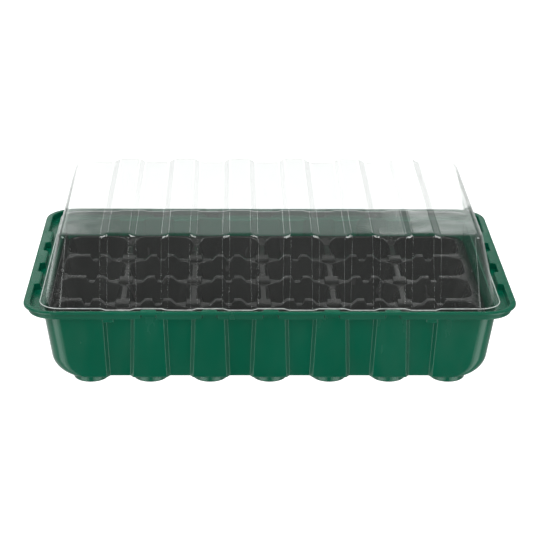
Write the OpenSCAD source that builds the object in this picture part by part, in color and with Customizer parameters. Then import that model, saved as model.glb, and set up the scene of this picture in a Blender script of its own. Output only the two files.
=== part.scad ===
// Humidity dome tray: a fluted base tray, a 24-cell insert that drops into it
// and a clear dome whose foot sits in the tray's rim channel.
// The origin is the middle of the tray's footprint, on the surface that its feet stand on.

/* [Base tray] */
// Length over the rim
rim_length = 380; // [376:1:400]
// Width over the rim
rim_width = 240; // [238:1:256]
// Height of the rim above the surface that the feet stand on
rim_height = 66.5; // [62:0.5:80]
// Height of the moulded feet
foot_height = 4; // [2:0.5:6]
// Radius of the moulded feet
foot_radius = 14; // [8:0.5:16]
// Wall thickness of the tray
tray_wall = 1.2; // [1:0.1:1.6]
// Depth of the rim channel that holds the dome
channel_depth = 5.3; // [4:0.1:7]
// Depth of the grooves in the long walls
groove_depth = 3.5; // [2:0.1:4]

/* [Cell insert] */
// Spacing of the cells along the tray
cell_pitch_x = 56.4; // [54:0.1:56.8]
// Spacing of the cells across the tray
cell_pitch_y = 50; // [46:0.1:50]
// Depth of the insert's deck below the tray's rim
deck_drop = 18; // [14:0.5:24]
// Width of the webs between cells
web_width = 4.4; // [3.6:0.1:8]
// Sheet thickness of the insert
insert_wall = 0.8; // [0.6:0.1:1]
// Radius of the drain hole in each cell
drain_radius = 3; // [2:0.5:5]

/* [Humidity dome] */
// Height of the dome's flat top above the tray's rim
dome_rise = 52.6; // [40:0.2:80]
// Sheet thickness of the dome
dome_wall = 0.8; // [0.6:0.1:1]
// Height of the flutes above the dome's skin
flute_height = 2.4; // [1:0.1:3.5]

/* [Hidden] */

// Flutes, grooves and rim tabs share one spacing along the tray.
flute_pitch = 46.6;
flute_centres = [for (i = [-2.5 : 2.5]) i * flute_pitch];
end_tab_centres = [-70, -24, 24, 70];
arc_steps = 6;

// Tray levels and half sizes, outside, from the floor up.
floor_low = foot_height;
floor_top = floor_low + tray_wall;
wall_half = [rim_length / 2 - 15, rim_width / 2 - 11];
floor_half = [wall_half[0] - 23.8, wall_half[1] - 7.2];
bend_radius = 18.8;
wall_corner = 13.5;
channel_low = rim_height - channel_depth - tray_wall;
channel_top = channel_low + tray_wall;
tab_inset = [4, 2];
gap_depth = 4;
lip_drop = 2.2;
lip_corner = 25;
long_feet_x = [for (i = [-3 : 3]) i * flute_pitch];
end_feet_y = [-46.6, 0, 46.6];
lug_size = [8, 3, 3.5];
lug_x = [-124, 123];

// Insert levels, outline and grid lines. The grid sits a little left of the tray's middle.
deck_top = rim_height - deck_drop;
deck_low = [-171.2, -100.9];
deck_high = [170.3, 99.5];
deck_corner = 8;
grid_centre = [-4, 1.8];
columns = 6;
rows = 4;
low_border = [1.8, 3.5];
high_border = [5.5, 1.8];
// The left border turns up into a lip that leans out with the tray's end wall.
lip_rise = 8.5;
lip_lean = 0.9;
cup_floor = floor_top + 0.1;
cup_waist = cup_floor + 5.2;
waist_inset = [8, 6];
floor_inset = [13, 11];
end_waist_inset = 12;
end_floor_inset = 20.5;
plate = 0.01;

// Dome levels and half sizes, outside.
dome_foot = channel_top + 0.1;
dome_top = rim_height + dome_rise;
flange_half = [wall_half[0] + 2.5, wall_half[1] + 3.3];
dome_foot_half = [wall_half[0] + 0.2, wall_half[1] + 1.8];
dome_top_half = [162.3, 93.6];
edge_radius = 2.8;
edge_inset = 0.7;
dome_corner = 15;
dome_top_corner = 7;

// Depth profile of one side: pairs of [place along the side, depth inward].
// Each feature is a trapezium with four points; end_depth holds beyond the last ones.
function side_profile(centres, inner_half, outer_half, inner_depth, outer_depth, end_depth) =
    [for (i = [0 : len(centres) - 1])
        let (c = centres[i], first = i == 0, last = i == len(centres) - 1)
        each [
            [c - outer_half, first ? end_depth : outer_depth],
            [c - inner_half, inner_depth],
            [c + inner_half, inner_depth],
            [c + outer_half, last ? end_depth : outer_depth]
        ]];

function corner_arc(x, y, radius, start, z) =
    [for (k = [0 : arc_steps])
        let (a = start + 90 * k / arc_steps)
        [x + radius * cos(a), y + radius * sin(a), z]];

// Counter-clockwise rounded outline at height z. The depth profiles push its sides inward,
// and rise lifts a side's points by that share of their outward depth.
function ring(half, corner, z, long_side, short_side, rise = 0) =
    let (x = half[0] - corner, y = half[1] - corner)
    concat(
        [for (s = long_side) [s[0], s[1] - half[1], z - rise * s[1]]],
        corner_arc(x, -y, corner, -90, z),
        [for (s = short_side) [half[0] - s[1], s[0], z]],
        corner_arc(x, y, corner, 0, z),
        [for (s = long_side) [-s[0], half[1] - s[1], z - rise * s[1]]],
        corner_arc(-x, y, corner, 90, z),
        [for (s = short_side) [s[1] - half[0], -s[0], z]],
        corner_arc(-x, -y, corner, 180, z));

function reversed(list) = [for (i = [len(list) - 1 : -1 : 0]) list[i]];

// Faces that close a ring: one strip between each pair of facing long-side points,
// and one polygon at each end. long and short are the numbers of points on the sides.
function cap_faces(long, short) =
    let (
        back = long + short + 2 * (arc_steps + 1),
        count = 2 * back)
    concat(
        [for (j = [0 : long - 2]) [j, j + 1, back + long - 2 - j, back + long - 1 - j]],
        [[for (j = [long - 1 : back]) j]],
        [[for (j = [back + long - 1 : count]) j % count]]);

// Closed solid skinned over rings with equal point counts.
module skin_over(rings, long, short) {
    count = len(rings[0]);
    last = (len(rings) - 1) * count;
    caps = cap_faces(long, short);
    bands = [for (i = [0 : len(rings) - 2], j = [0 : count - 1])
        let (a = i * count + j, b = i * count + (j + 1) % count)
        each [[a, b + count, b], [a, a + count, b + count]]];
    ends = concat(caps, [for (f = caps) reversed([for (j = f) j + last])]);
    polyhedron(points = [for (r = rings) each r], faces = concat(bands, ends));
}

// Tray section: outside from the floor up to the lip, then back down inside.
module tray_shell() {
    short_flat = side_profile(end_tab_centres, 9, 11, 0, 0, 0);
    short_gaps = side_profile(end_tab_centres, 9, 11, 0, gap_depth, 0);
    long_flat = side_profile(flute_centres, 16.75, 18.5, 0, 0, 0);
    long_gaps = side_profile(flute_centres, 16.75, 18.5, 0, gap_depth, 0);

    // Half width of a groove shrinks from 12 at the channel to 10 at the floor.
    function grooves(z) =
        let (w = 10 + 2 * (z - floor_low) / (channel_low - floor_low))
        side_profile(flute_centres, w - 2, w, groove_depth, 0, 0);
    function wall_y(z) =
        floor_half[1] + (wall_half[1] - floor_half[1]) * (z - floor_low) / (channel_low - floor_low);
    function bend_x(a) = floor_half[0] + bend_radius * sin(a);
    function bend_z(a) = floor_low + bend_radius * (1 - cos(a));
    function wall_ring(x, z, t) =
        ring([x - t, wall_y(z) - t], wall_corner - t, z, grooves(z), short_flat);
    // Ring on the bend between end wall and floor, a degrees up it, t inside the outer face.
    function bend_ring(a, t) =
        let (z = bend_z(a))
        ring([bend_x(a) - t * sin(a), wall_y(z) - t], wall_corner - t, z + t * cos(a),
            grooves(z), short_flat);

    tab_half = [rim_length / 2 - tab_inset[0], rim_width / 2 - tab_inset[1]];
    lip_half = [rim_length / 2, rim_width / 2];
    function shrunk(half, t) = [half[0] - t, half[1] - t];

    bend_angles = [20, 40, 60, 80];
    outside = concat(
        [wall_ring(floor_half[0], floor_low, 0)],
        [for (a = bend_angles) bend_ring(a, 0)],
        [wall_ring(wall_half[0], channel_low, 0)]);
    channel_outside = [
        ring(shrunk(tab_half, 0.4), 21, channel_low, long_gaps, short_gaps),
        ring(tab_half, 21.4, rim_height - tray_wall, long_gaps, short_gaps)];
    lip_inner = shrunk(lip_half, tray_wall);
    lip_inner_corner = lip_corner - tray_wall;
    lip = [
        ring(lip_inner, lip_inner_corner, rim_height - tray_wall, long_flat, short_flat),
        ring(lip_inner, lip_inner_corner, rim_height - lip_drop, long_flat, short_flat),
        ring(lip_half, lip_corner, rim_height - lip_drop, long_flat, short_flat),
        ring(shrunk(lip_half, 0.2), lip_corner - 0.2, rim_height, long_flat, short_flat)];
    channel_inside = [
        ring(shrunk(tab_half, tray_wall), 20.2, rim_height, long_gaps, short_gaps),
        ring(shrunk(tab_half, tray_wall + 0.4), 19.8, channel_top, long_gaps, short_gaps)];
    inside = concat(
        [wall_ring(wall_half[0], channel_top, tray_wall)],
        [for (a = reversed(bend_angles)) bend_ring(a, tray_wall)],
        [ring([floor_half[0], floor_half[1] - tray_wall], wall_corner - tray_wall, floor_top,
            grooves(floor_low), short_flat)]);
    skin_over(concat(outside, channel_outside, lip, channel_inside, inside),
        len(long_flat), len(short_flat));
}

module foot() {
    cylinder(r = foot_radius, h = foot_height + tray_wall / 2, $fn = 96);
}

module base_tray() {
    color("darkgreen") {
        tray_shell();
        for (x = long_feet_x, side = [-1, 1])
            translate([x, side * (floor_half[1] - foot_radius - 0.3), 0])
                foot();
        for (side = [-1, 1], y = end_feet_y)
            translate([side * (floor_half[0] - foot_radius), y, 0])
                foot();
        for (x = lug_x)
            translate([x - lug_size[0] / 2, -wall_half[1] - 2.4, channel_low - lug_size[2]])
                cube([lug_size[0], lug_size[1], lug_size[2] + tray_wall / 2]);
    }
}

// Low and high edge of a cell's mouth along one axis (0 is X, 1 is Y).
function grid_line(axis, i) =
    grid_centre[axis] + (i - (axis == 0 ? columns : rows) / 2) * (axis == 0 ? cell_pitch_x : cell_pitch_y);
function mouth_low(axis, i) =
    i == 0 ? deck_low[axis] + low_border[axis] : grid_line(axis, i) + web_width / 2;
function mouth_high(axis, i) =
    i == (axis == 0 ? columns : rows) - 1
        ? deck_high[axis] - high_border[axis] : grid_line(axis, i + 1) - web_width / 2;

function floor_low_x(i) = mouth_low(0, i) + (i == 0 ? end_floor_inset : floor_inset[0]);
function floor_high_x(i) = mouth_high(0, i) - (i == columns - 1 ? end_floor_inset : floor_inset[0]);

module rounded_plate(low, high, corner, z) {
    translate([(low[0] + high[0]) / 2, (low[1] + high[1]) / 2, z])
        linear_extrude(plate)
            offset(r = corner, $fn = 16)
                square([high[0] - low[0] - 2 * corner, high[1] - low[1] - 2 * corner], center = true);
}

// Solid of one cell, grown by a wall thickness. The end columns lean in more,
// because the tray's ends curve into its floor.
module cup(column, row, grow) {
    low = [mouth_low(0, column) - grow, mouth_low(1, row) - grow];
    high = [mouth_high(0, column) + grow, mouth_high(1, row) + grow];
    low_end = column == 0;
    high_end = column == columns - 1;
    waist_low = low + [low_end ? end_waist_inset : waist_inset[0], waist_inset[1]];
    waist_high = high - [high_end ? end_waist_inset : waist_inset[0], waist_inset[1]];
    floor_low_corner = [floor_low_x(column) - grow, low[1] + floor_inset[1]];
    floor_high_corner = [floor_high_x(column) + grow, high[1] - floor_inset[1]];
    lift = insert_wall - grow;
    hull() {
        rounded_plate(low, high, 10 + grow, grow > 0 ? deck_top - insert_wall : deck_top + plate);
        rounded_plate(waist_low, waist_high, 8 + grow, cup_waist + lift);
        rounded_plate(floor_low_corner, floor_high_corner, 6 + grow, cup_floor + lift);
    }
}

module border_lip() {
    strip = [insert_wall - 0.2, deck_high[1] - deck_low[1] - 2 * deck_corner, 0.2];
    foot_x = deck_low[0] + 0.1;
    hull() {
        translate([foot_x, deck_low[1] + deck_corner, deck_top - 0.6])
            cube(strip);
        translate([foot_x - lip_lean - 0.1, deck_low[1] + deck_corner, deck_top + lip_rise - 0.2])
            cube(strip);
    }
}

module cell_insert() {
    color("dimgray")
        difference() {
            union() {
                border_lip();
                translate([0, 0, deck_top - insert_wall])
                    linear_extrude(insert_wall)
                        translate([(deck_low[0] + deck_high[0]) / 2, (deck_low[1] + deck_high[1]) / 2])
                            offset(r = deck_corner, $fn = 24)
                                square(deck_high - deck_low - 2 * [deck_corner, deck_corner], center = true);
                for (column = [0 : columns - 1], row = [0 : rows - 1])
                    cup(column, row, insert_wall);
            }
            for (column = [0 : columns - 1], row = [0 : rows - 1])
                cup(column, row, 0);
            for (column = [0 : columns - 1], row = [0 : rows - 1])
                translate([
                    (floor_low_x(column) + floor_high_x(column)) / 2,
                    (mouth_low(1, row) + mouth_high(1, row)) / 2,
                    cup_floor - insert_wall])
                    cylinder(r = drain_radius, h = 3 * insert_wall, $fn = 16);
        }
}

module humidity_dome() {
    // Flutes narrow from the foot to the top; their foot nests in the channel's tabs.
    flutes = side_profile(flute_centres, 7.5, 14, -flute_height, 0, 0);
    foot_flutes = side_profile(flute_centres, 8.5, 14, -flute_height - 0.6, 0, 0);
    function between(a, b, share) = a + (b - a) * share;
    function wall_half_at(z) =
        between(dome_foot_half, dome_top_half, (z - dome_foot) / (dome_top - dome_foot));
    function shrunk(half, t) = [half[0] - t, half[1] - t];

    flange_top = dome_foot + dome_wall;
    bend_low = dome_top - edge_radius;
    bend_mid = dome_top - 0.3 * edge_radius;
    mid_half = shrunk(wall_half_at(bend_mid), edge_inset);
    flat_half = shrunk(dome_top_half, edge_radius);
    flat_corner = dome_top_corner - 0.6 * edge_radius;
    outside = [
        ring(flange_half, dome_corner + 2, dome_foot, foot_flutes, []),
        ring(flange_half, dome_corner + 2, flange_top, foot_flutes, []),
        ring(wall_half_at(flange_top), dome_corner, flange_top, foot_flutes, []),
        ring(wall_half_at(bend_low), dome_top_corner, bend_low, flutes, []),
        ring(mid_half, dome_top_corner - edge_inset, bend_mid, flutes, [], 0.6),
        ring(flat_half, flat_corner, dome_top, flutes, [], 1)];
    inside = [
        ring(shrunk(flat_half, 0.2), flat_corner - 0.2, dome_top - dome_wall, flutes, [], 1),
        ring(shrunk(mid_half, 0.7), dome_top_corner - 1.4, bend_mid - 0.6, flutes, [], 0.6),
        ring(shrunk(wall_half_at(bend_low), dome_wall), dome_top_corner - 0.8, bend_low, flutes, []),
        ring(shrunk(wall_half_at(dome_foot), dome_wall), dome_corner - 0.8, dome_foot, foot_flutes, [])];
    color("lightcyan", 0.35)
        skin_over(concat(inside, outside), len(flutes), 0);
}

base_tray();
cell_insert();
humidity_dome();
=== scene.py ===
"""Humidity dome tray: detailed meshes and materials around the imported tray, insert and dome."""
import math

import bmesh
import bpy
from mathutils import Matrix, Vector


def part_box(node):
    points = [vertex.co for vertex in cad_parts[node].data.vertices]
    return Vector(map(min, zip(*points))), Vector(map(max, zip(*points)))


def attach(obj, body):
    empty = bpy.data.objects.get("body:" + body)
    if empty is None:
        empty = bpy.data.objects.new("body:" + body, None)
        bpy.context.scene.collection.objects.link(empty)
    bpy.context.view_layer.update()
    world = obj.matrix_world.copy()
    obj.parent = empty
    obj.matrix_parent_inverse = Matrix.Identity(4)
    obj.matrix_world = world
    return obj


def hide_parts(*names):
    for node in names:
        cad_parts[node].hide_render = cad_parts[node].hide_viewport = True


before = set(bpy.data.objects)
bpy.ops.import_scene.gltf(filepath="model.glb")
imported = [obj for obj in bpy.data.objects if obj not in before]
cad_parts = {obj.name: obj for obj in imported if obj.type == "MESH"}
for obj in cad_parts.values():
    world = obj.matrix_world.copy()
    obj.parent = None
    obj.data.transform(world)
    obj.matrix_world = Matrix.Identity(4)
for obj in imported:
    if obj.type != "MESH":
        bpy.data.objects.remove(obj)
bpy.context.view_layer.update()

MM = 0.001

# ---------------------------------------------------------------- sizes, in millimetres

TRAY_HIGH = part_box("base_tray")[1] / MM
INSERT_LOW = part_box("cell_insert")[0] / MM
DOME_LOW, DOME_HIGH = (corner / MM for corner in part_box("humidity_dome"))

RIM_HALF = (TRAY_HIGH.x, TRAY_HIGH.y)
RIM_Z = TRAY_HIGH.z
# Flutes, grooves and the rim's tabs share one spacing along the tray.
FLUTE_PITCH = 46.6
FLUTE_CENTRES = [(i - 2.5) * FLUTE_PITCH for i in range(6)]
# Half widths of a tab: its flat part, and with the slopes beside it.
LONG_TAB_HALF = (16.75, 18.5)
END_TAB_HALF = (9.0, 11.0)
END_TAB_CENTRES = [-70.0, -24.0, 24.0, 70.0]

FOOT_HEIGHT = 4.0
FOOT_RADIUS = 14.0
TRAY_WALL = 1.2
CHANNEL_DEPTH = 5.3
GROOVE_DEPTH = 3.5
# Half width of a groove at the floor and at the channel, half way up its slopes.
GROOVE_HALF = (9.0, 11.0)
GROOVE_SLOPE = 3.0
WALL_HALF = (RIM_HALF[0] - 15.0, RIM_HALF[1] - 11.0)
FLOOR_HALF = (WALL_HALF[0] - 23.8, WALL_HALF[1] - 7.2)
BEND_RADIUS = 18.8
BEND_ANGLES = [6, 14, 22, 30, 38, 46, 54, 62, 71, 80]
FLOOR_FILLET = 1.5
WALL_CORNER = 13.5
CHANNEL_LOW = RIM_Z - CHANNEL_DEPTH - TRAY_WALL
CHANNEL_TOP = CHANNEL_LOW + TRAY_WALL
TAB_HALF = (RIM_HALF[0] - 4.0, RIM_HALF[1] - 2.0)
TAB_CORNER = 21.4
TAB_FLARE_LOW = 0.4
TAB_FLARE_HIGH = -0.1
GAP_DEPTH = 4.0
LOW_GAP_DEPTH = 4.8
CHANNEL_DRAFT = 0.4
LIP_DROP = 2.2
LIP_CORNER = 25.0
LUG_X = (-124.0, 123.0)
LUG_HALF_WIDTH = 4.3
LUG_REACH = 7.6
LUG_HEIGHT = 3.2
LUG_ROOT = 0.6

DECK_Z = RIM_Z - 18.0
DECK_LOW = (-171.2, -100.9)
DECK_HIGH = (170.3, 99.5)
BORDER_LIP_RISE = 8.5
BORDER_LIP_LEAN = 0.9
BORDER_LIP_INSET = 12.0
CELL_PITCH = (56.4, 50.0)
CELL_COUNT = (6, 4)
GRID_CENTRE = (-4.0, 1.8)
LOW_BORDER = (1.8, 3.5)
HIGH_BORDER = (5.5, 1.8)
WEB_HALF = (1.6, 2.2)
# Webs along X: low as far as SADDLE_REACH from a knob, then a slope; a notch halfway between knobs.
SADDLE_DROP = 4.0
SADDLE_REACH = 13.9
SADDLE_SLOPE = 4.1
NOTCH_HALF = 2.0
NOTCH_SLOPE = 2.5
BORDER_LEDGE = 1.0
BORDER_BLEND = 11.0
KNOB_HALF = (6.3, 6.1)
KNOB_DROP = 1.5
KNOB_ROOT = 0.5
INSERT_WALL = 0.8
CUP_FLOOR = INSERT_LOW.z + INSERT_WALL
CUP_WAIST = CUP_FLOOR + 5.2
FLOOR_INSET = (13, 11)
END_FLOOR_INSET = 20.5
DRAIN_RADIUS = 3.0
WELD_DISTANCE = 0.02

# Levels of a cell from its mouth down: inset in X between cells and at the tray's ends, inset
# in Y, corner radius, height, and how much of the web's drop the level follows.
CELL_LEVELS = [
    (0, 0, 0, 12, DECK_Z, 1),
    (0.3, 0.3, 0.3, 11.8, DECK_Z - 0.08, 1),
    (0.65, 0.65, 0.6, 11.6, DECK_Z - 0.35, 1),
    (0.9, 0.9, 0.8, 11.5, DECK_Z - 1.0, 1),
    (1.7, 2.4, 1.3, 11, DECK_Z - 7.0, 0.25),
    (3.2, 4.8, 2.4, 10.4, DECK_Z - 14.0, 0),
    (8, 12, 6, 8, CUP_WAIST + 1.2, 0),
    (9.2, 13.6, 7.1, 7.5, CUP_WAIST - 1.6, 0),
    (11.0, 16.6, 8.8, 6.8, CUP_FLOOR + 1.2, 0),
    (FLOOR_INSET[0], END_FLOOR_INSET, FLOOR_INSET[1], 6, CUP_FLOOR, 0),
]
TILE_CORNER = 14

DOME_WALL = 0.8
FLUTE_HEIGHT = 2.4
DOME_FOOT = DOME_LOW.z
DOME_TOP = DOME_HIGH.z - FLUTE_HEIGHT
FLANGE_HALF = (WALL_HALF[0] + 2.5, WALL_HALF[1] + 3.3)
DOME_FOOT_HALF = (WALL_HALF[0] + 0.2, WALL_HALF[1] + 1.8)
DOME_TOP_HALF = (162.3, 93.6)
DOME_CORNER = 15.0
DOME_TOP_CORNER = 7.0
DOME_EDGE = 2.8
DOME_EDGE_ANGLES = (0, 15, 32, 50, 68, 90)
# Long-side features as section() takes them.
DOME_FLUTES = (7.5, 14, -FLUTE_HEIGHT, 0, 0)
DOME_FOOT_FLUTES = (8.5, 14, -FLUTE_HEIGHT - 0.6, 0, 0)
FLANGE_CORNER = DOME_CORNER + 2
FLANGE_LIP_WALL = 0.5
FLANGE_LIP_TOP = RIM_Z - 0.2
# Top of the painted highlight strip that stands in for the rim's highlight line.
HIGHLIGHT_STRIP_TOP = RIM_Z + 0.35

# Places of the points on a feature's slope, closer together at its rounded ends.
SLOPE_STOPS = (0, 0.08, 0.16, 0.25, 0.5, 0.75, 0.84, 0.92, 1)
ARC_STEPS = 10


# ---------------------------------------------------------------- mesh helpers

def mix(a, b, t):
    return a + (b - a) * t


def mix_lists(a, b, t):
    return [mix(p, q, t) for p, q in zip(a, b)]


def clamp(t):
    return min(1.0, max(0.0, t))


def ease(t):
    return t * t * (3 - 2 * t)


def soft_slope(t, rounding=0.25):
    """0 to 1 in a straight slope with a small rounding at each end."""
    if t > 0.5:
        return 1 - soft_slope(1 - t, rounding)
    if t < rounding:
        return t * t / (2 * rounding * (1 - rounding))
    return (t - rounding / 2) / (1 - rounding)


def shrunk(half, t):
    return (half[0] - t, half[1] - t)


def section(half, corner, z, groove, end=(0, 0), rise=0.0):
    """One ring of a lofted shell. groove is its long-side feature: half width at the feature's
    bottom and at its mouth, then depth inward in, between and beyond the features. end is the
    depth of the short-side features and of the gaps between them."""
    return [half[0], half[1], corner, z, *groove, *end, rise]


def side_points(centres, inner, outer, inner_depth, between_depth, end_depth):
    """(place, depth) pairs along one side, with softened slopes into each feature."""
    points = []
    for number, centre in enumerate(centres):
        before = end_depth if number == 0 else between_depth
        after = end_depth if number == len(centres) - 1 else between_depth
        for t in SLOPE_STOPS:
            points.append((centre - mix(outer, inner, t), mix(before, inner_depth, soft_slope(t))))
        for t in SLOPE_STOPS:
            points.append((centre + mix(inner, outer, t), mix(inner_depth, after, soft_slope(t))))
    return points


def ring_points(sec, short_side=True):
    """Counter-clockwise outline of a section."""
    hx, hy, corner, z, inner, outer, deep, between, beyond, end_deep, end_between, rise = sec
    long_side = side_points(FLUTE_CENTRES, inner, outer, deep, between, beyond)
    short = side_points(END_TAB_CENTRES, *END_TAB_HALF, end_deep, end_between, end_deep)
    short = short if short_side else []
    x, y = hx - corner, hy - corner

    def arc(cx, cy, start):
        for k in range(ARC_STEPS + 1):
            a = math.radians(start + 90 * k / ARC_STEPS)
            yield (cx + corner * math.cos(a), cy + corner * math.sin(a), z)

    points = [(s, d - hy, z - rise * d) for s, d in long_side]
    points += arc(x, -y, -90)
    points += [(hx - d, s, z) for s, d in short]
    points += arc(x, y, 0)
    points += [(-s, hy - d, z - rise * d) for s, d in long_side]
    points += arc(-x, y, 90)
    points += [(d - hx, -s, z) for s, d in short]
    points += arc(-x, -y, 180)
    return points, len(long_side)


def filleted(path, steps=4):
    """path holds (section, radius) pairs: each corner is rounded off by about its radius."""
    result = []
    for i, (here, radius) in enumerate(path):
        if radius == 0 or i in (0, len(path) - 1):
            result.append(here)
            continue
        reach = []
        for other in (path[i - 1][0], path[i + 1][0]):
            across = max(abs(other[0] - here[0]), abs(other[1] - here[1]))
            length = math.hypot(across, other[3] - here[3])
            reach.append(mix_lists(here, other, min(0.48, radius / max(length, 1e-6))))
        for k in range(steps + 1):
            t = k / steps
            result.append(mix_lists(mix_lists(reach[0], here, t), mix_lists(here, reach[1], t), t))
    return result


def piece_from(name, bm, body, node, material, smooth_angle=40):
    """Turns a bmesh in millimetres into a finished piece that stands for a CAD node."""
    bmesh.ops.scale(bm, vec=(MM, MM, MM), verts=bm.verts)
    bmesh.ops.recalc_face_normals(bm, faces=bm.faces)
    mesh = bpy.data.meshes.new(name)
    bm.to_mesh(mesh)
    bm.free()
    for polygon in mesh.polygons:
        polygon.use_smooth = True
    mesh.set_sharp_from_angle(angle=math.radians(smooth_angle))
    obj = bpy.data.objects.new(name, mesh)
    bpy.context.scene.collection.objects.link(obj)
    mesh.materials.append(material)
    weighted = obj.modifiers.new("weighted_normals", "WEIGHTED_NORMAL")
    weighted.keep_sharp = True
    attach(obj, body)
    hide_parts(node)
    return obj


def loft(bm, sections, short_side=True):
    """Closed shell over sections. The first and last are closed by strips across the short way."""
    rings = []
    for sec in sections:
        points, long_count = ring_points(sec, short_side)
        rings.append([bm.verts.new(p) for p in points])
    count = len(rings[0])
    for low, high in zip(rings, rings[1:]):
        for j in range(count):
            k = (j + 1) % count
            bm.faces.new((low[j], low[k], high[k], high[j]))
    half = count // 2
    for ring, flip in ((rings[0], True), (rings[-1], False)):
        faces = [
            (ring[j], ring[j + 1], ring[half + long_count - 2 - j], ring[half + long_count - 1 - j])
            for j in range(long_count - 1)
        ]
        faces.append(ring[long_count - 1:half + 1])
        faces.append(ring[half + long_count - 1:] + [ring[0]])
        for face in faces:
            bm.faces.new(list(reversed(face)) if flip else face)


def lathe(bm, profile, centre, steps=48):
    """Closed turned solid about a vertical axis. profile holds (radius, z) from axis to axis."""
    rings = []
    for radius, z in profile:
        if radius == 0:
            rings.append([bm.verts.new((centre[0], centre[1], z))])
            continue
        rings.append([
            bm.verts.new((
                centre[0] + radius * math.cos(math.tau * k / steps),
                centre[1] + radius * math.sin(math.tau * k / steps), z))
            for k in range(steps)])
    for low, high in zip(rings, rings[1:]):
        for j in range(steps):
            k = (j + 1) % steps
            if len(low) == 1:
                bm.faces.new((low[0], high[k], high[j]))
            elif len(high) == 1:
                bm.faces.new((low[j], low[k], high[0]))
            else:
                bm.faces.new((low[j], low[k], high[k], high[j]))


def soft_block(bm, low, high, taper, bevel, lean=0.0):
    """Small block with rounded edges. Its top is drawn in by taper and leans to -X by lean."""
    made = bmesh.ops.create_cube(bm, size=1.0)["verts"]
    for v in made:
        top = v.co.z > 0
        x = low[0] if v.co.x < 0 else high[0]
        y = low[1] if v.co.y < 0 else high[1]
        if top:
            x -= math.copysign(taper, v.co.x) + lean
            y -= math.copysign(taper, v.co.y)
        v.co = (x, y, high[2] if top else low[2])
    edges = {e for v in made for e in v.link_edges}
    bmesh.ops.bevel(bm, geom=list(edges), offset=bevel, segments=3, profile=0.5, affect="EDGES")


# ---------------------------------------------------------------- materials

def new_material(name):
    material = bpy.data.materials.new(name)
    material.use_nodes = True
    nodes = material.node_tree.nodes
    nodes.clear()
    return material, nodes, material.node_tree.links


def maths(nodes, links, operation, a, b):
    """A math node. a and b are sockets or plain numbers."""
    node = nodes.new("ShaderNodeMath")
    node.operation = operation
    for socket, value in zip(node.inputs, (a, b)):
        if isinstance(value, (int, float)):
            socket.default_value = value
        else:
            links.new(value, socket)
    return node.outputs["Value"]


def mixed(nodes, links, share, first, second):
    blend = nodes.new("ShaderNodeMixShader")
    links.new(share, blend.inputs[0])
    links.new(first.outputs["BSDF"], blend.inputs[1])
    links.new(second.outputs["BSDF"], blend.inputs[2])
    return blend.outputs["Shader"]


def add_noise(nodes, links, coords, scale, detail=3.0, stretch=(1, 1, 1)):
    mapping = nodes.new("ShaderNodeMapping")
    mapping.inputs["Scale"].default_value = stretch
    noise = nodes.new("ShaderNodeTexNoise")
    noise.inputs["Scale"].default_value = scale
    noise.inputs["Detail"].default_value = detail
    links.new(coords.outputs["Object"], mapping.inputs["Vector"])
    links.new(mapping.outputs["Vector"], noise.inputs["Vector"])
    return noise.outputs["Fac"]


def ranged(nodes, links, value, low, high, from_low=0.3, from_high=0.7):
    """Maps from_low..from_high to low..high. The default range suits noise."""
    span = nodes.new("ShaderNodeMapRange")
    span.inputs["From Min"].default_value = from_low
    span.inputs["From Max"].default_value = from_high
    span.inputs["To Min"].default_value = low
    span.inputs["To Max"].default_value = high
    links.new(value, span.inputs["Value"])
    return span.outputs["Result"]


def add_bump(nodes, links, height, strength, distance, chain=None):
    bump = nodes.new("ShaderNodeBump")
    bump.inputs["Strength"].default_value = strength
    bump.inputs["Distance"].default_value = distance
    links.new(height, bump.inputs["Height"])
    if chain is not None:
        links.new(chain, bump.inputs["Normal"])
    return bump.outputs["Normal"]


def moulded_plastic(name, dark, light, roughness, specular, ripple):
    """Glossy moulded sheet: slight colour drift, fine scuffs in the gloss and a wavy skin."""
    material, nodes, links = new_material(name)
    coords = nodes.new("ShaderNodeTexCoord")
    shader = nodes.new("ShaderNodeBsdfPrincipled")
    output = nodes.new("ShaderNodeOutputMaterial")
    links.new(shader.outputs["BSDF"], output.inputs["Surface"])

    drift = add_noise(nodes, links, coords, 14.0)
    blend = nodes.new("ShaderNodeMix")
    blend.data_type = "RGBA"
    blend.inputs["A"].default_value = (*dark, 1)
    blend.inputs["B"].default_value = (*light, 1)
    links.new(ranged(nodes, links, drift, 0.0, 1.0), blend.inputs["Factor"])
    links.new(blend.outputs["Result"], shader.inputs["Base Color"])

    scuffs = add_noise(nodes, links, coords, 90.0, 5.0, (1, 1, 0.25))
    links.new(ranged(nodes, links, scuffs, roughness[0], roughness[1]), shader.inputs["Roughness"])
    shader.inputs["Specular IOR Level"].default_value = specular
    shader.inputs["IOR"].default_value = 1.49

    waves = add_noise(nodes, links, coords, 22.0, 1.0)
    grain = add_noise(nodes, links, coords, 900.0, 2.0)
    normal = add_bump(nodes, links, waves, ripple, 0.002)
    normal = add_bump(nodes, links, grain, 0.12, 0.0001, normal)
    links.new(normal, shader.inputs["Normal"])
    return material


# Mirror share of the clear sheet where it faces the viewer, and what grazing angles add.
HEAD_ON_SHARE = 0.045
GRAZING_GAIN = 0.95


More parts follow.
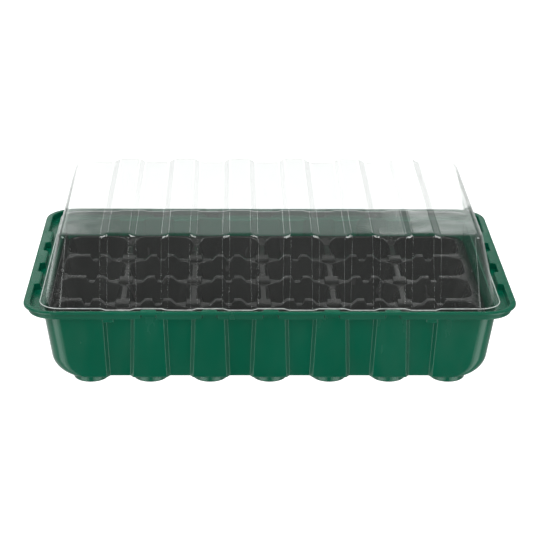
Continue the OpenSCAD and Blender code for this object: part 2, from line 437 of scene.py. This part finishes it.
def clear_sheet(name):
    """Thin clear plastic: mostly see-through, with a mirror share that grows at grazing
    angles, a faint haze and the slight waviness of drawn sheet."""
    material, nodes, links = new_material(name)
    coords = nodes.new("ShaderNodeTexCoord")
    output = nodes.new("ShaderNodeOutputMaterial")
    see_through = nodes.new("ShaderNodeBsdfTransparent")
    see_through.inputs["Color"].default_value = (0.978, 0.982, 0.98, 1)
    skin = nodes.new("ShaderNodeBsdfPrincipled")
    skin.inputs["Base Color"].default_value = (0.84, 0.88, 0.86, 1)
    skin.inputs["Metallic"].default_value = 0.85
    waves = add_noise(nodes, links, coords, 16.0, 2.0)
    dimples = add_noise(nodes, links, coords, 160.0, 2.0)
    normal = add_bump(nodes, links, waves, 0.25, 0.002)
    normal = add_bump(nodes, links, dimples, 0.03, 0.0002, normal)
    links.new(normal, skin.inputs["Normal"])
    scuffs = add_noise(nodes, links, coords, 120.0, 6.0, (1, 0.2, 1))
    links.new(ranged(nodes, links, scuffs, 0.07, 0.12), skin.inputs["Roughness"])

    facing = nodes.new("ShaderNodeLayerWeight")
    facing.inputs["Blend"].default_value = 0.5
    grazing = maths(nodes, links, "POWER", facing.outputs["Facing"], 5.0)
    share = maths(nodes, links, "MULTIPLY", grazing, GRAZING_GAIN)
    share = maths(nodes, links, "ADD", share, HEAD_ON_SHARE)
    links.new(mixed(nodes, links, share, see_through, skin), output.inputs["Surface"])
    return material


def painted_highlight_material(name):
    """Painted highlight: a thin whitish strip, broken into patches by noise, that stands in for the
    bright highlight line along the tray's rim.
    """
    material, nodes, links = new_material(name)
    coords = nodes.new("ShaderNodeTexCoord")
    output = nodes.new("ShaderNodeOutputMaterial")
    see_through = nodes.new("ShaderNodeBsdfTransparent")
    shader = nodes.new("ShaderNodeBsdfPrincipled")
    shader.inputs["Base Color"].default_value = (0.82, 0.86, 0.84, 1)
    shader.inputs["Roughness"].default_value = 0.35
    shader.inputs["Specular IOR Level"].default_value = 0.6
    # Noise breaks the painted highlight strip into patches.
    strip_breaks = add_noise(nodes, links, coords, 260.0, 3.0)
    share = ranged(nodes, links, strip_breaks, 0.35, 0.7)
    links.new(mixed(nodes, links, share, see_through, shader), output.inputs["Surface"])
    return material


# ---------------------------------------------------------------- base tray

def tray_wall_section(x, z, t, level=None):
    """Ring on the tray's wall, t inside its outer face. level sets the height that the wall's
    slope and grooves are worked out for, where it differs from z."""
    share = ((z if level is None else level) - FOOT_HEIGHT) / (CHANNEL_LOW - FOOT_HEIGHT)
    y = mix(FLOOR_HALF[1], WALL_HALF[1], share)
    middle = mix(*GROOVE_HALF, share)
    groove = (middle - GROOVE_SLOPE / 2, middle + GROOVE_SLOPE / 2, GROOVE_DEPTH, 0, 0)
    height = z - FOOT_HEIGHT
    if t == 0 and height < FLOOR_FILLET:
        y -= FLOOR_FILLET - math.sqrt(FLOOR_FILLET ** 2 - (FLOOR_FILLET - height) ** 2)
    return section((x - t, y - t), WALL_CORNER - t, z, groove)


def tray_bend_section(angle, t):
    """Ring on the bend between the end walls and the floor, t inside the outer face."""
    a = math.radians(angle)
    level = FOOT_HEIGHT + BEND_RADIUS * (1 - math.cos(a))
    x = FLOOR_HALF[0] + BEND_RADIUS * math.sin(a)
    sec = tray_wall_section(x, level, t)
    sec[0] = x - t * math.sin(a)
    sec[3] = level + t * math.cos(a)
    return sec


def tray_path():
    """The tray's section, outside from the floor up over the rim and back down inside."""
    flat = (*LONG_TAB_HALF, 0, 0, 0)
    gaps = (*LONG_TAB_HALF, 0, GAP_DEPTH, 0)
    low_gaps = (*LONG_TAB_HALF, 0, LOW_GAP_DEPTH, 0)
    lip_low = RIM_Z - LIP_DROP
    plate_low = RIM_Z - TRAY_WALL
    lip_inner, lip_inner_corner = shrunk(RIM_HALF, TRAY_WALL), LIP_CORNER - TRAY_WALL

    def tab_section(out, z, groove=gaps, end=(0, GAP_DEPTH)):
        return section(shrunk(TAB_HALF, -out), TAB_CORNER + out, z, groove, end)

    path = [(tray_wall_section(FLOOR_HALF[0], FOOT_HEIGHT, 0), 0)]
    path += [(tray_bend_section(a, 0), 0) for a in BEND_ANGLES]
    path += [
        (tray_wall_section(WALL_HALF[0], CHANNEL_LOW, 0), 0.9),
        (tab_section(TAB_FLARE_LOW, CHANNEL_LOW, low_gaps, (0, LOW_GAP_DEPTH)), 1.0),
        (tab_section(TAB_FLARE_HIGH, plate_low), 0.4),
        (section(lip_inner, lip_inner_corner, plate_low, flat), 0.4),
        (section(lip_inner, lip_inner_corner, lip_low, flat), 0.3),
        (section(RIM_HALF, LIP_CORNER, lip_low, flat), 0.3),
        (section(RIM_HALF, LIP_CORNER, RIM_Z, flat), 1.0),
        (tab_section(-TRAY_WALL, RIM_Z), 0.8),
        (tab_section(-TRAY_WALL - CHANNEL_DRAFT, CHANNEL_TOP), 0.6),
        (tray_wall_section(WALL_HALF[0], CHANNEL_TOP, TRAY_WALL, CHANNEL_LOW), 1.2),
    ]
    path += [(tray_bend_section(a, TRAY_WALL), 0) for a in reversed(BEND_ANGLES)]
    inner_floor = tray_wall_section(FLOOR_HALF[0], FOOT_HEIGHT + TRAY_WALL, TRAY_WALL, FOOT_HEIGHT)
    inner_floor[0] = FLOOR_HALF[0]
    path.append((inner_floor, 0))
    return filleted(path)


def foot_centres():
    for i in range(-3, 4):
        for side in (-1, 1):
            yield (i * FLUTE_PITCH, side * (FLOOR_HALF[1] - FOOT_RADIUS - 0.3))
    for side in (-1, 1):
        for i in (-1, 0, 1):
            yield (side * (FLOOR_HALF[0] - FOOT_RADIUS), i * FLUTE_PITCH)


def build_tray(material):
    bm = bmesh.new()
    loft(bm, tray_path())
    piece_from("tray_shell", bm, "tray", "base_tray", material, 32)

    bm = bmesh.new()
    top = FOOT_HEIGHT + TRAY_WALL / 2
    profile = [
        (0, 0.5), (8.5, 0.5), (9.3, 0.15), (10.2, 0), (12.6, 0), (13.4, 0.25), (13.85, 0.8),
        (FOOT_RADIUS, 1.6), (FOOT_RADIUS, top), (0, top)]
    for centre in foot_centres():
        lathe(bm, profile, centre)
    piece_from("tray_feet", bm, "tray", "base_tray", material)

    bm = bmesh.new()
    for x in LUG_X:
        low = (x - LUG_HALF_WIDTH, -WALL_HALF[1] - LUG_REACH, CHANNEL_LOW - LUG_HEIGHT)
        high = (x + LUG_HALF_WIDTH, -WALL_HALF[1] + LUG_ROOT, CHANNEL_LOW + LUG_ROOT)
        soft_block(bm, low, high, taper=0, bevel=0.6)
    piece_from("tray_lugs", bm, "tray", "base_tray", material)


# ---------------------------------------------------------------- cell insert

def grid_line(axis, i):
    return GRID_CENTRE[axis] + (i - CELL_COUNT[axis] / 2) * CELL_PITCH[axis]


def tile_edges(axis, i):
    """Low and high edge of the patch of deck around a cell."""
    low = DECK_LOW[axis] if i == 0 else grid_line(axis, i)
    high = DECK_HIGH[axis] if i == CELL_COUNT[axis] - 1 else grid_line(axis, i + 1)
    return low, high


def mouth_edges(axis, i):
    low, high = tile_edges(axis, i)
    low += LOW_BORDER[axis] if i == 0 else WEB_HALF[axis]
    high -= HIGH_BORDER[axis] if i == CELL_COUNT[axis] - 1 else WEB_HALF[axis]
    return low, high


def web_drop(x, y, column, row):
    """How far a web lies below the deck at (x, y): low between and beside the knobs, a slope up
    to a high stretch, and a notch halfway between knobs. The tray-side borders stay level."""
    first, last = column == 0, column == CELL_COUNT[0] - 1
    left, right = grid_line(0, column), grid_line(0, column + 1)
    nearest = min(
        math.inf if first else x - left,
        math.inf if last else right - x)
    from_middle = abs(x - (left + right) / 2)
    drop = SADDLE_DROP * (1 - clamp((nearest - SADDLE_REACH) / SADDLE_SLOPE))
    notch = SADDLE_DROP * (1 - clamp((from_middle - NOTCH_HALF) / NOTCH_SLOPE))
    away = 1.0
    if row == 0:
        away = ease(clamp((y - DECK_LOW[1] - LOW_BORDER[1] - BORDER_LEDGE) / BORDER_BLEND))
    elif row == CELL_COUNT[1] - 1:
        away = ease(clamp((DECK_HIGH[1] - y - HIGH_BORDER[1] - BORDER_LEDGE) / BORDER_BLEND))
    return away * max(drop, notch)


def cell_outline(low, high, corner, centre_x, square=(0, 0, 0, 0)):
    """Points round a cell, the same number at every level. square is 1 for each corner that is
    pulled out to a sharp one: front right, back right, back left, front left."""
    x0, x1, y0, y1 = low[0] + corner, high[0] - corner, low[1] + corner, high[1] - corner
    marks = [-10.2, -7.3, -4.5, -2.0, 2.0, 4.5, 7.3, 10.2]
    apart = 0.02  # keeps the marks in order where the side is shorter than they are
    along = [
        min(max(centre_x + mark, x0 + apart * k), x1 - apart * (len(marks) - k))
        for k, mark in enumerate(marks, 1)]
    across = [mix(y0, y1, t) for t in (0.25, 0.5, 0.75)]
    steps = 8

    def arc(cx, cy, start, squareness):
        points = []
        for k in range(steps + 1):
            a = math.radians(start + 90 * k / steps)
            c, s = math.cos(a), math.sin(a)
            stretch = mix(1, 1 / max(abs(c), abs(s)), squareness)
            points.append((cx + corner * c * stretch, cy + corner * s * stretch))
        return points

    points = [(x, low[1]) for x in along]
    points += arc(x1, y0, -90, square[0])
    points += [(high[0], y) for y in across]
    points += arc(x1, y1, 0, square[1])
    points += [(x, high[1]) for x in reversed(along)]
    points += arc(x0, y1, 90, square[2])
    points += [(low[0], y) for y in reversed(across)]
    points += arc(x0, y0, 180, square[3])
    return points


def build_cell(bm, column, row):
    """Upper skin of one cell and its patch of deck: web top, mouth, cup and drain hole."""
    tile = [tile_edges(axis, i) for axis, i in ((0, column), (1, row))]
    mouth = [mouth_edges(axis, i) for axis, i in ((0, column), (1, row))]
    first, last = column == 0, column == CELL_COUNT[0] - 1
    centre_x = (grid_line(0, column) + grid_line(0, column + 1)) / 2

    front, back = row == 0, row == CELL_COUNT[1] - 1
    inner_corners = [
        not (last and front), not (last and back), not (first and back), not (first and front)]

    def shrunk_to(edges, in_x, end_in_x, in_y):
        low = (edges[0][0] + (end_in_x if first else in_x), edges[1][0] + in_y)
        high = (edges[0][1] - (end_in_x if last else in_x), edges[1][1] - in_y)
        return low, high

    def level(low, high, corner, z, follow, square=(0, 0, 0, 0)):
        return [
            bm.verts.new((x, y, z - follow * web_drop(x, y, column, row)))
            for x, y in cell_outline(low, high, corner, centre_x, square)]

    rings = [level(*shrunk_to(tile, 0, 0, 0), TILE_CORNER, DECK_Z, 1, inner_corners)]
    for in_x, end_in_x, in_y, corner, z, follow in CELL_LEVELS:
        rings.append(level(*shrunk_to(mouth, in_x, end_in_x, in_y), corner, z, follow))

    low, high = shrunk_to(mouth, FLOOR_INSET[0], END_FLOOR_INSET, FLOOR_INSET[1])
    hole_x, hole_y = (low[0] + high[0]) / 2, (low[1] + high[1]) / 2
    hole = []
    for v in rings[-1]:
        a = math.atan2(v.co.y - hole_y, v.co.x - hole_x)
        hole.append(bm.verts.new((
            hole_x + DRAIN_RADIUS * math.cos(a), hole_y + DRAIN_RADIUS * math.sin(a), CUP_FLOOR)))
    rings.append(hole)
    count = len(hole)
    for outer, inner in zip(rings, rings[1:]):
        for j in range(count):
            k = (j + 1) % count
            bm.faces.new((outer[j], outer[k], inner[k], inner[j]))


def build_insert(material):
    bm = bmesh.new()
    for column in range(CELL_COUNT[0]):
        for row in range(CELL_COUNT[1]):
            build_cell(bm, column, row)
    bmesh.ops.remove_doubles(bm, verts=bm.verts, dist=WELD_DISTANCE)
    sheet = piece_from("insert_sheet", bm, "insert", "cell_insert", material, 50)
    thick = sheet.modifiers.new("thickness", "SOLIDIFY")
    thick.thickness = INSERT_WALL * MM
    thick.offset = -1

    bm = bmesh.new()
    for i in range(1, CELL_COUNT[0]):
        for j in range(1, CELL_COUNT[1]):
            x, y = grid_line(0, i), grid_line(1, j)
            low = (x - KNOB_HALF[0], y - KNOB_HALF[1], DECK_Z - SADDLE_DROP - KNOB_ROOT)
            high = (x + KNOB_HALF[0], y + KNOB_HALF[1], DECK_Z - KNOB_DROP)
            soft_block(bm, low, high, taper=0.6, bevel=1.1)
    piece_from("insert_knobs", bm, "insert", "cell_insert", material)

    bm = bmesh.new()
    low = (DECK_LOW[0], DECK_LOW[1] + BORDER_LIP_INSET, DECK_Z - INSERT_WALL)
    high = (
        DECK_LOW[0] + INSERT_WALL, DECK_HIGH[1] - BORDER_LIP_INSET, DECK_Z + BORDER_LIP_RISE)
    soft_block(bm, low, high, taper=0, bevel=0.25, lean=BORDER_LIP_LEAN)
    piece_from("insert_border_lip", bm, "insert", "cell_insert", material)


# ---------------------------------------------------------------- humidity dome

def dome_half(z):
    share = (z - DOME_FOOT) / (DOME_TOP - DOME_FOOT)
    return (
        mix(DOME_FOOT_HALF[0], DOME_TOP_HALF[0], share),
        mix(DOME_FOOT_HALF[1], DOME_TOP_HALF[1], share))


def dome_path(t):
    """Sections of the dome's skin from foot to top, t inside its outer face."""
    low = DOME_FOOT + (0 if t else DOME_WALL)
    foot = section(shrunk(dome_half(low), t), DOME_CORNER - t, low, DOME_FOOT_FLUTES)
    path = [(foot, 0 if t else 0.5)]
    for angle in DOME_EDGE_ANGLES:
        c, s = math.cos(math.radians(angle)), math.sin(math.radians(angle))
        inset = DOME_EDGE * (1 - c)
        z = DOME_TOP - DOME_EDGE * (1 - s)
        half = shrunk(dome_half(z), inset + t * c)
        corner = DOME_TOP_CORNER - 0.6 * inset - t
        path.append((section(half, corner, z - t * s, DOME_FLUTES, rise=s), 0))
    flat_half = shrunk(DOME_TOP_HALF, DOME_EDGE + 2)
    flat = section(flat_half, DOME_TOP_CORNER - 3 - t, DOME_TOP - t, DOME_FLUTES, rise=1)
    path.append((flat, 0))
    return path


def flange_section(out, z):
    half = shrunk(FLANGE_HALF, -out)
    return section(half, FLANGE_CORNER + out, z, DOME_FOOT_FLUTES)


def build_dome(material, highlight_strip_material):
    inside = list(reversed(dome_path(DOME_WALL)))
    flange = [
        (flange_section(0, DOME_FOOT), 0.25),
        (flange_section(0, FLANGE_LIP_TOP), 0),
        (flange_section(-FLANGE_LIP_WALL, FLANGE_LIP_TOP), 0),
        (flange_section(-FLANGE_LIP_WALL, DOME_FOOT + DOME_WALL), 0.25)]
    bm = bmesh.new()
    loft(bm, filleted(inside + flange + dome_path(0.0)), short_side=False)
    piece_from("dome_shell", bm, "dome", "humidity_dome", material, 50)

    # Painted highlight: a thin whitish strip along the flange, raised to just above the tray's rim
    # where the rim's highlight line shows: (out, down) points.
    edge = [(-0.5, 0.6), (0.0, 0.6), (0.0, 0.15), (-0.15, 0), (-0.35, 0), (-0.5, 0.15)]
    bm = bmesh.new()
    rings = []
    for out, down in edge:
        points = ring_points(flange_section(out, HIGHLIGHT_STRIP_TOP - down), short_side=False)[0]
        rings.append([bm.verts.new(point) for point in points])
    for low, high in zip(rings, rings[1:] + rings[:1]):
        for j in range(len(low)):
            k = (j + 1) % len(low)
            bm.faces.new((low[j], low[k], high[k], high[j]))
    piece_from("dome_highlight_strip", bm, "dome", "humidity_dome", highlight_strip_material, 50)


# ---------------------------------------------------------------- stage

CAMERA_SPOT = (-30.09, -1416.0, 535.2)
CAMERA_PITCH = 0.3684
CAMERA_YAW = 0.0224
CAMERA_ROLL = 0.0093
CAMERA_LENS = 123.2


def build_camera():
    data = bpy.data.cameras.new("camera")
    data.lens = CAMERA_LENS
    data.clip_start, data.clip_end = 0.05, 50
    camera = bpy.data.objects.new("camera", data)
    bpy.context.scene.collection.objects.link(camera)
    bpy.context.scene.camera = camera
    look = Vector((
        math.sin(CAMERA_YAW) * math.cos(CAMERA_PITCH),
        math.cos(CAMERA_YAW) * math.cos(CAMERA_PITCH),
        -math.sin(CAMERA_PITCH)))
    right = Vector((math.cos(CAMERA_YAW), -math.sin(CAMERA_YAW), 0))
    up = right.cross(look)
    right, up = (
        right * math.cos(CAMERA_ROLL) + up * math.sin(CAMERA_ROLL),
        up * math.cos(CAMERA_ROLL) - right * math.sin(CAMERA_ROLL))
    turn = Matrix((right, up, -look)).transposed()
    spot = Vector((CAMERA_SPOT[0], CAMERA_SPOT[1], CAMERA_SPOT[2] + RIM_Z)) * MM
    camera.matrix_world = Matrix.Translation(spot) @ turn.to_4x4()


FLOOR_SIZE = 12
FLOOR_GAP = 0.0002
FLOOR_GLOW = 1.24


def build_floor():
    bm = bmesh.new()
    bmesh.ops.create_grid(bm, x_segments=8, y_segments=8, size=FLOOR_SIZE)
    mesh = bpy.data.meshes.new("floor")
    bm.to_mesh(mesh)
    bm.free()
    floor = bpy.data.objects.new("floor", mesh)
    floor.location.z = -FLOOR_GAP
    bpy.context.scene.collection.objects.link(floor)
    material, nodes, links = new_material("floor_paper")
    output = nodes.new("ShaderNodeOutputMaterial")
    glow = nodes.new("ShaderNodeEmission")
    glow.inputs["Strength"].default_value = FLOOR_GLOW
    paper = nodes.new("ShaderNodeBsdfDiffuse")
    paper.inputs["Color"].default_value = (0.2, 0.2, 0.2, 1)
    both = nodes.new("ShaderNodeAddShader")
    links.new(glow.outputs["Emission"], both.inputs[0])
    links.new(paper.outputs["BSDF"], both.inputs[1])
    links.new(both.outputs["Shader"], output.inputs["Surface"])
    mesh.materials.append(material)
    floor.visible_glossy = False


LIGHT_AIM = (0, 0, 0.05)


def add_softbox(name, spot, size, power, seen):
    """Area light. seen sets whether it shows in reflections."""
    light = bpy.data.lights.new(name, "AREA")
    light.shape = "RECTANGLE"
    light.size, light.size_y = size
    light.energy = power
    obj = bpy.data.objects.new(name, light)
    bpy.context.scene.collection.objects.link(obj)
    obj.location = spot
    obj.visible_glossy = seen
    obj.rotation_euler = (Vector(LIGHT_AIM) - Vector(spot)).to_track_quat("-Z", "Y").to_euler()


def build_world():
    """A white studio, as a strength for each direction: a table that is dark towards the
    front, bright low panels at both sides, a dimmer backdrop and thin bright strips."""
    world = bpy.data.worlds.new("studio")
    bpy.context.scene.world = world
    world.use_nodes = True
    nodes, links = world.node_tree.nodes, world.node_tree.links
    nodes.clear()
    output = nodes.new("ShaderNodeOutputWorld")
    background = nodes.new("ShaderNodeBackground")
    coords = nodes.new("ShaderNodeTexCoord")
    parts = nodes.new("ShaderNodeSeparateXYZ")
    links.new(coords.outputs["Generated"], parts.inputs["Vector"])
    links.new(background.outputs["Background"], output.inputs["Surface"])

    def combined(operation, first, *others):
        for other in others:
            first = maths(nodes, links, operation, first, other)
        return first

    def ramp(value, low, high, from_low, from_high):
        return ranged(nodes, links, value, low, high, from_low, from_high)

    def window(value, low, high, soft=0.03):
        return combined(
            "MULTIPLY", ramp(value, 0, 1, low - soft, low), ramp(value, 1, 0, high, high + soft))

    x, y, z = (parts.outputs[axis] for axis in "XYZ")
    side = combined("ABSOLUTE", x, 0)

    # Below the horizon: the table, brighter at the back and on the left, with low panels at
    # both sides of the front and a thin band across it.
    table = combined("MULTIPLY", ramp(y, 0.03, 1.3, -0.55, 0.0), ramp(x, 1.2, 0.62, -0.6, 0.6))
    low_panels = combined(
        "MULTIPLY",
        ramp(side, 0, 7.0, 0.25, 0.45), ramp(y, 1, 0, -0.35, -0.2), ramp(z, 1, 0, -0.3, -0.2))
    front_band = combined("MULTIPLY", window(z, -0.28, -0.16), ramp(y, 1.1, 0, -0.9, -0.8))
    table = combined("MAXIMUM", table, low_panels, front_band)

    # Above it: a dimmer backdrop, with one dark stretch a little right of the middle.
    dark_stretch = combined("MULTIPLY", window(x, 0.135, 0.19), 0.75)
    backdrop = combined(
        "MULTIPLY", ramp(y, 0.08, 0.42, -0.3, 0.6), combined("SUBTRACT", 1.0, dark_stretch))
    up = ramp(z, 0.0, 1.0, -0.08, 0.12)
    around = combined(
        "ADD",
        combined("MULTIPLY", table, combined("SUBTRACT", 1.0, up)),
        combined("MULTIPLY", backdrop, up))

    front_strips = combined("MULTIPLY", window(side, 0.2, 0.29), ramp(y, 1, 0, -0.5, -0.3), 3.0)
    back_strips = combined(
        "MULTIPLY",
        window(side, 0.09, 0.14, 0.015), window(z, 0.14, 0.32), ramp(y, 0, 1, 0.5, 0.7), 2.0)
    links.new(combined("ADD", around, front_strips, back_strips), background.inputs["Strength"])


def build_light():
    build_world()
    add_softbox("key_left", (-1.4, -0.5, 1.3), (0.9, 0.9), 16, seen=True)
    add_softbox("key_right", (1.5, -0.3, 1.2), (0.7, 0.9), 12, seen=True)
    add_softbox("top_light", (0.0, 0.3, 1.8), (1.6, 1.2), 30, seen=False)
    add_softbox("front_fill", (0.0, -1.7, 1.1), (1.6, 0.8), 13, seen=False)
    bpy.context.scene.view_settings.view_transform = "Standard"


build_camera()
build_floor()
build_light()
build_tray(moulded_plastic(
    "green_plastic", (0.0003, 0.068, 0.036), (0.0006, 0.080, 0.044), (0.16, 0.28), 0.22, 0.12))
build_insert(moulded_plastic(
    "black_plastic", (0.016, 0.016, 0.0152), (0.025, 0.025, 0.024), (0.14, 0.3), 0.36, 0.25))
# The dome's second material paints the highlight line along the tray's rim.
build_dome(clear_sheet("clear_plastic"), painted_highlight_material("painted_highlight_strip"))
